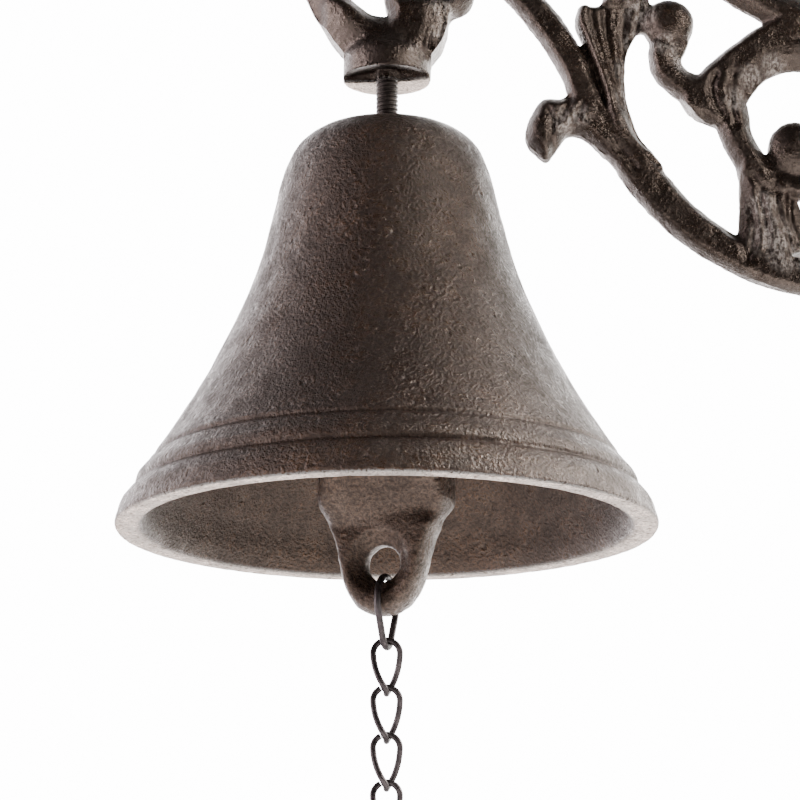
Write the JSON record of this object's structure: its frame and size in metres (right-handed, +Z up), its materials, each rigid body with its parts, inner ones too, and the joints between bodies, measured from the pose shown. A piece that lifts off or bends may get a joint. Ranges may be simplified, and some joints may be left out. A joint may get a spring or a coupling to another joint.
{
  "type": "wall mounted bell",
  "caption": "Cast wall bell on a scroll bracket, with a clapper worked by a hanging chain and ring.",
  "frame": {"origin": "middle of the wall plate's rear face, on the wall", "axes": "+X into the wall, -Y to the front as pictured, +Z up; the bell's axis is 150 mm out from the wall along -X"},
  "size_m": [0.225, 0.15, 0.4022],
  "materials": {
    "bracket_iron": "dark brown cast finish, satin",
    "bell_iron": "dark brown sand-cast finish, satin",
    "clapper_iron": "brown-grey rough cast",
    "fixing_steel": "darkened steel",
    "chain_steel": "dark gunmetal wire"
  },
  "bodies": {
    "mounting": {"bracket": "bracket_iron", "eye_bolt": "fixing_steel", "washer": "fixing_steel", "nut": "fixing_steel"},
    "bell": {"bell": "bell_iron"},
    "hanger": {"hanger_link": "fixing_steel"},
    "clapper": {"clapper": "clapper_iron"},
    "coupling": {"coupling_link": "chain_steel"},
    "chain_link_01": {"chain_link_01": "chain_steel"},
    "chain_link_02": {"chain_link_02": "chain_steel"},
    "chain_link_03": {"chain_link_03": "chain_steel"},
    "chain_link_04": {"chain_link_04": "chain_steel"},
    "chain_link_05": {"chain_link_05": "chain_steel"},
    "chain_link_06": {"chain_link_06": "chain_steel"},
    "chain_link_07": {"chain_link_07": "chain_steel"},
    "chain_link_08": {"chain_link_08": "chain_steel"},
    "chain_link_09": {"chain_link_09": "chain_steel"},
    "chain_link_10": {"chain_link_10": "chain_steel"},
    "chain_link_11": {"chain_link_11": "chain_steel"},
    "chain_link_12": {"chain_link_12": "chain_steel"},
    "pull_ring": {"pull_ring": "chain_steel"}
  },
  "joints": [
    {"name": "bell_spin", "type": "hinge", "parent": "mounting", "child": "bell", "pos_m": [-0.15, 0, -0.005], "axis": [0, 0, 1], "continuous": true},
    {"name": "hanger_swing", "type": "hinge", "parent": "mounting", "child": "hanger", "pos_m": [-0.15, 0, -0.0322], "axis": [0.9397, -0.342, 0], "range_deg": [-10, 10]},
    {"name": "clapper_swing", "type": "hinge", "parent": "hanger", "child": "clapper", "pos_m": [-0.15, 0, -0.04302], "axis": [0.342, 0.9397, 0], "range_deg": [-32, 32]},
    {"name": "coupling_swing", "type": "hinge", "parent": "clapper", "child": "coupling", "pos_m": [-0.15, 0, -0.12815], "axis": [-0.342, -0.9397, 0], "range_deg": [-40, 40]},
    {"name": "link_01_swing", "type": "hinge", "parent": "coupling", "child": "chain_link_01", "pos_m": [-0.15, 0, -0.14567], "axis": [1, 0, 0], "range_deg": [-45, 45]},
    {"name": "link_02_swing", "type": "hinge", "parent": "chain_link_01", "child": "chain_link_02", "pos_m": [-0.15, 0, -0.16042], "axis": [0, 1, 0], "range_deg": [-45, 45]},
    {"name": "link_03_swing", "type": "hinge", "parent": "chain_link_02", "child": "chain_link_03", "pos_m": [-0.15, 0, -0.17161], "axis": [-1, 0, 0], "range_deg": [-45, 45]},
    {"name": "link_04_swing", "type": "hinge", "parent": "chain_link_03", "child": "chain_link_04", "pos_m": [-0.15, 0, -0.18636], "axis": [0, -1, 0], "range_deg": [-45, 45]},
    {"name": "link_05_swing", "type": "hinge", "parent": "chain_link_04", "child": "chain_link_05", "pos_m": [-0.15, 0, -0.19755], "axis": [1, 0, 0], "range_deg": [-45, 45]},
    {"name": "link_06_swing", "type": "hinge", "parent": "chain_link_05", "child": "chain_link_06", "pos_m": [-0.15, 0, -0.2123], "axis": [0, 1, 0], "range_deg": [-45, 45]},
    {"name": "link_07_swing", "type": "hinge", "parent": "chain_link_06", "child": "chain_link_07", "pos_m": [-0.15, 0, -0.22349], "axis": [-1, 0, 0], "range_deg": [-45, 45]},
    {"name": "link_08_swing", "type": "hinge", "parent": "chain_link_07", "child": "chain_link_08", "pos_m": [-0.15, 0, -0.23824], "axis": [0, -1, 0], "range_deg": [-45, 45]},
    {"name": "link_09_swing", "type": "hinge", "parent": "chain_link_08", "child": "chain_link_09", "pos_m": [-0.15, 0, -0.24943], "axis": [1, 0, 0], "range_deg": [-45, 45]},
    {"name": "link_10_swing", "type": "hinge", "parent": "chain_link_09", "child": "chain_link_10", "pos_m": [-0.15, 0, -0.26418], "axis": [0, 1, 0], "range_deg": [-45, 45]},
    {"name": "link_11_swing", "type": "hinge", "parent": "chain_link_10", "child": "chain_link_11", "pos_m": [-0.15, 0, -0.27537], "axis": [-1, 0, 0], "range_deg": [-45, 45]},
    {"name": "link_12_swing", "type": "hinge", "parent": "chain_link_11", "child": "chain_link_12", "pos_m": [-0.15, 0, -0.29012], "axis": [0, -1, 0], "range_deg": [-45, 45]},
    {"name": "pull_ring_swing", "type": "hinge", "parent": "chain_link_12", "child": "pull_ring", "pos_m": [-0.15, 0, -0.30066], "axis": [1, 0, 0], "range_deg": [-45, 45]}
  ]
}
